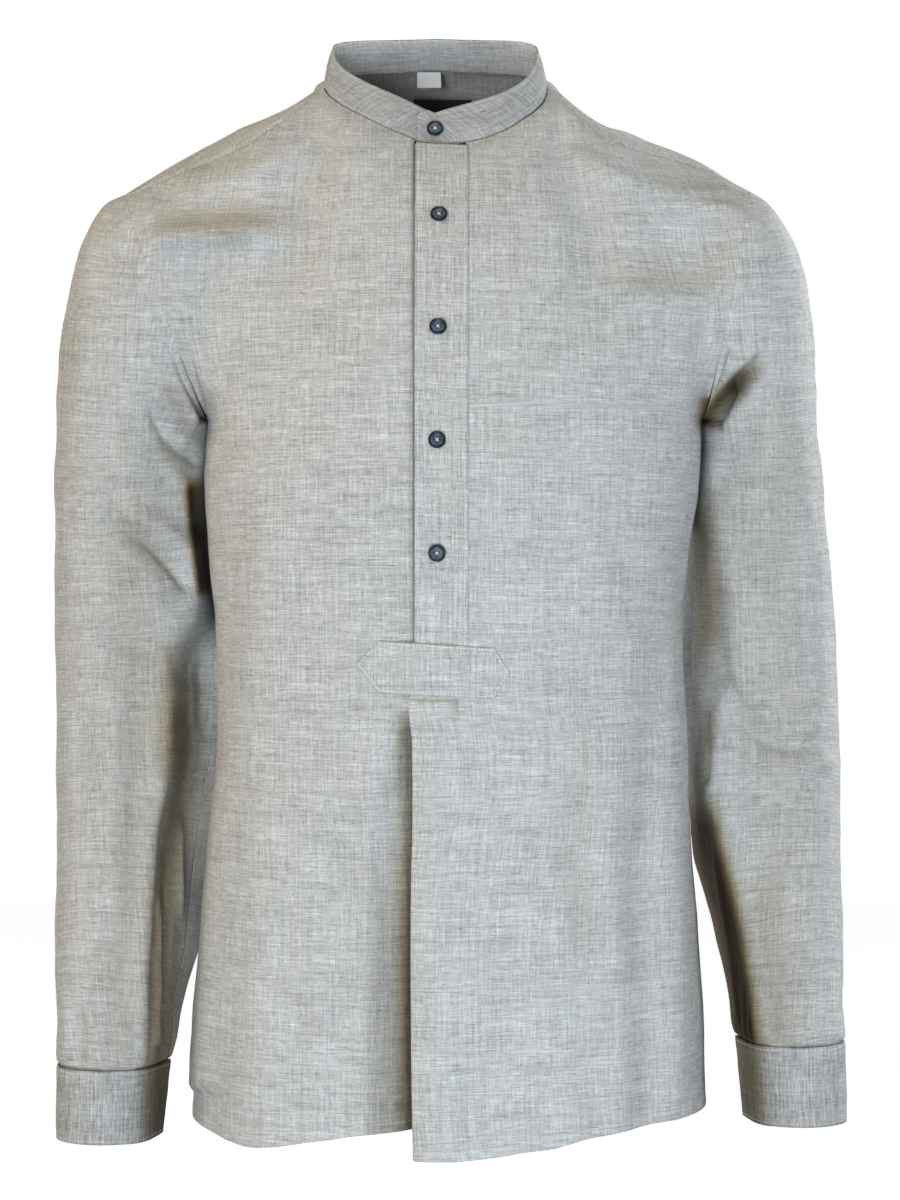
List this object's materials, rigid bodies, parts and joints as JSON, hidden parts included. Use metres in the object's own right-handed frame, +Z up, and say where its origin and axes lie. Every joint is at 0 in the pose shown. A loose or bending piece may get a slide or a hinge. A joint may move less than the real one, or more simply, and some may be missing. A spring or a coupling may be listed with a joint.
{
  "type": "trachten shirt",
  "caption": "Long-sleeved linen pullover shirt with stand collar, half button placket closed by a pointed tab, centre pleat below it and buttoned cuffs, hollow as worn",
  "frame": {"origin": "the mount worn_at: midway between the two points where the shoulders meet the collar, where the wearer's neck and shoulders hold the shirt up", "axes": "+X the wearer's left, -Y the front, +Z up"},
  "size_m": [0.5795, 0.2744, 0.808],
  "materials": {
    "linen": "light grey slubbed linen chambray, plain weave",
    "linen_band": "the same linen, doubled and topstitched",
    "button_navy": "dark navy, marbled blue-grey in the middle",
    "label_white": "white satin tape, bare",
    "label_woven": "dark woven tape with a pale edge, bare"
  },
  "bodies": {
    "root": {"front": "linen", "back": "linen", "yoke": "linen", "sleeve_left": "linen", "sleeve_right": "linen", "collar": "linen_band", "placket": "linen_band", "placket_under": "linen_band", "tab": "linen_band", "cuff_left": "linen_band", "cuff_right": "linen_band", "button_1": "button_navy", "button_2": "button_navy", "button_3": "button_navy", "button_4": "button_navy", "button_5": "button_navy", "cuff_button_left": "button_navy", "cuff_button_right": "button_navy", "size_tab": "label_white", "neck_label": "label_woven"}
  },
  "joints": []
}
